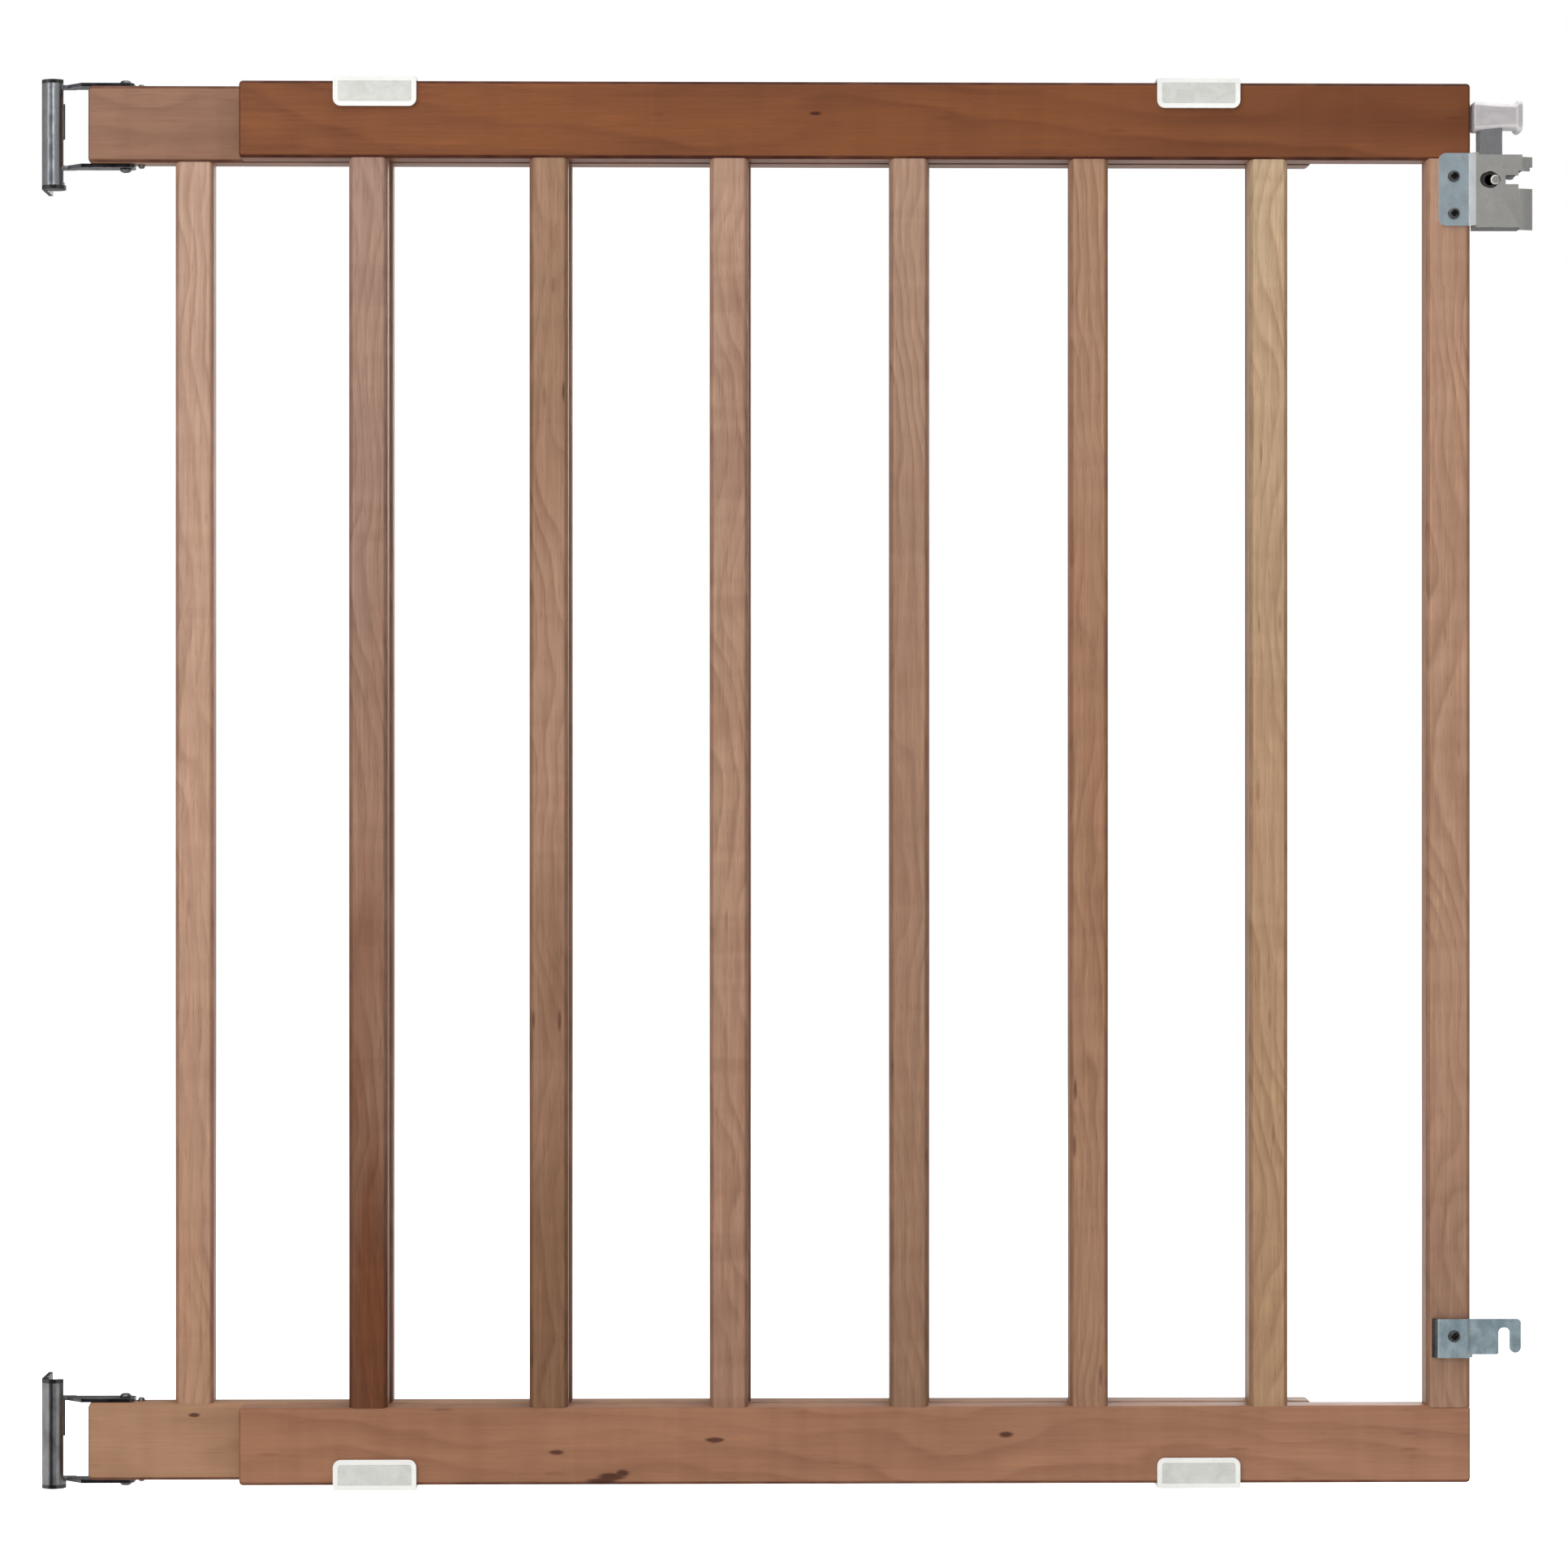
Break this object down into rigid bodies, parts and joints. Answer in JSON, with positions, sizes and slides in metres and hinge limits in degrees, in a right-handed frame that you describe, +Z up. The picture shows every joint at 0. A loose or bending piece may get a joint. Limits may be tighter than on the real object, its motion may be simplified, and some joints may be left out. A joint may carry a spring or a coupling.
{
  "type": "expandable safety gate",
  "caption": "Wooden baby gate of two overlapping barred frames that slide apart, hinged on wall brackets, with a lift-up latch and a lower hook.",
  "frame": {"origin": "centre of the lower wall bracket's two screw holes, on the wall face", "axes": "+X along the gate from the hinge wall to the latch end, +Y to the rear, the side it opens to, +Z up along the hinge pins"},
  "size_m": [0.7734, 0.069, 0.7345],
  "materials": {
    "top_rail_wood": "satin reddish brown stain over straight grain",
    "bottom_rail_wood": "satin pinkish tan hardwood",
    "bar_wood": "satin tan hardwood, shade varies from bar to bar",
    "bracket_steel": "bright nickel plate",
    "zinc_plate": "clear zinc plate, faintly blue",
    "bright_steel": "bright rolled steel",
    "screw_steel": "dark phosphate",
    "clip_plastic": "translucent pale grey, satin",
    "knob_plastic": "pale warm grey, satin",
    "black_nylon": "moulded",
    "white_nylon": "moulded"
  },
  "bodies": {
    "wall_brackets": {"hinge_bracket_upper": "bracket_steel", "hinge_bracket_lower": "bracket_steel", "hinge_seat_upper": "black_nylon", "hinge_seat_lower": "black_nylon"},
    "hinge_sleeves": {"hinge_sleeve_upper": "white_nylon", "hinge_sleeve_lower": "white_nylon"},
    "rear_frame": {"rear_top_rail": "top_rail_wood", "rear_bottom_rail": "bottom_rail_wood", "rear_bar_1": "bar_wood", "rear_bar_2": "bar_wood", "rear_bar_3": "bar_wood", "rear_bar_4": "bar_wood", "rear_bar_5": "bar_wood", "rear_bar_6": "bar_wood", "rear_bar_7": "bar_wood", "hinge_arm_upper_top": "zinc_plate", "hinge_arm_upper_bottom": "zinc_plate", "hinge_arm_lower_top": "zinc_plate", "hinge_arm_lower_bottom": "zinc_plate", "hinge_pin_upper": "bright_steel", "hinge_pin_lower": "bright_steel", "hinge_arm_screws": "screw_steel", "hinge_arm_nails": "screw_steel", "guide_clip_top_rear": "clip_plastic", "guide_clip_bottom_rear": "clip_plastic", "clip_screws_rear": "screw_steel", "travel_stop": "clip_plastic"},
    "front_frame": {"front_top_rail": "top_rail_wood", "front_bottom_rail": "bottom_rail_wood", "front_bar_1": "bar_wood", "front_bar_2": "bar_wood", "front_bar_3": "bar_wood", "front_bar_4": "bar_wood", "front_bar_5": "bar_wood", "front_bar_6": "bar_wood", "front_stile": "bar_wood", "guide_clip_top_front": "clip_plastic", "guide_clip_bottom_front": "clip_plastic", "clip_screws_front": "screw_steel", "latch_housing": "zinc_plate", "latch_screws": "screw_steel", "latch_guide_rivet": "bright_steel", "lower_hook": "zinc_plate", "hook_screw": "screw_steel"},
    "latch_bolt": {"latch_bolt": "bright_steel", "latch_knob": "knob_plastic", "latch_spring": "bright_steel"}
  },
  "joints": [
    {"name": "gate_lift", "type": "slide", "parent": "wall_brackets", "child": "hinge_sleeves", "axis": [0, 0, 1], "range_m": [0, 0.014]},
    {"name": "gate_swing", "type": "hinge", "parent": "hinge_sleeves", "child": "rear_frame", "pos_m": [0.0063, -0.017, 0], "axis": [0, 0, 1], "range_deg": [0, 90]},
    {"name": "width_slide", "type": "slide", "parent": "rear_frame", "child": "front_frame", "axis": [1, 0, 0], "range_m": [-0.077, 0.2]},
    {"name": "bolt_lift", "type": "slide", "parent": "front_frame", "child": "latch_bolt", "axis": [0, 0, 1], "range_m": [0, 0.008], "stiffness_N_per_m": 400, "springref_m": -0.006, "deforming": ["latch_spring"]}
  ]
}
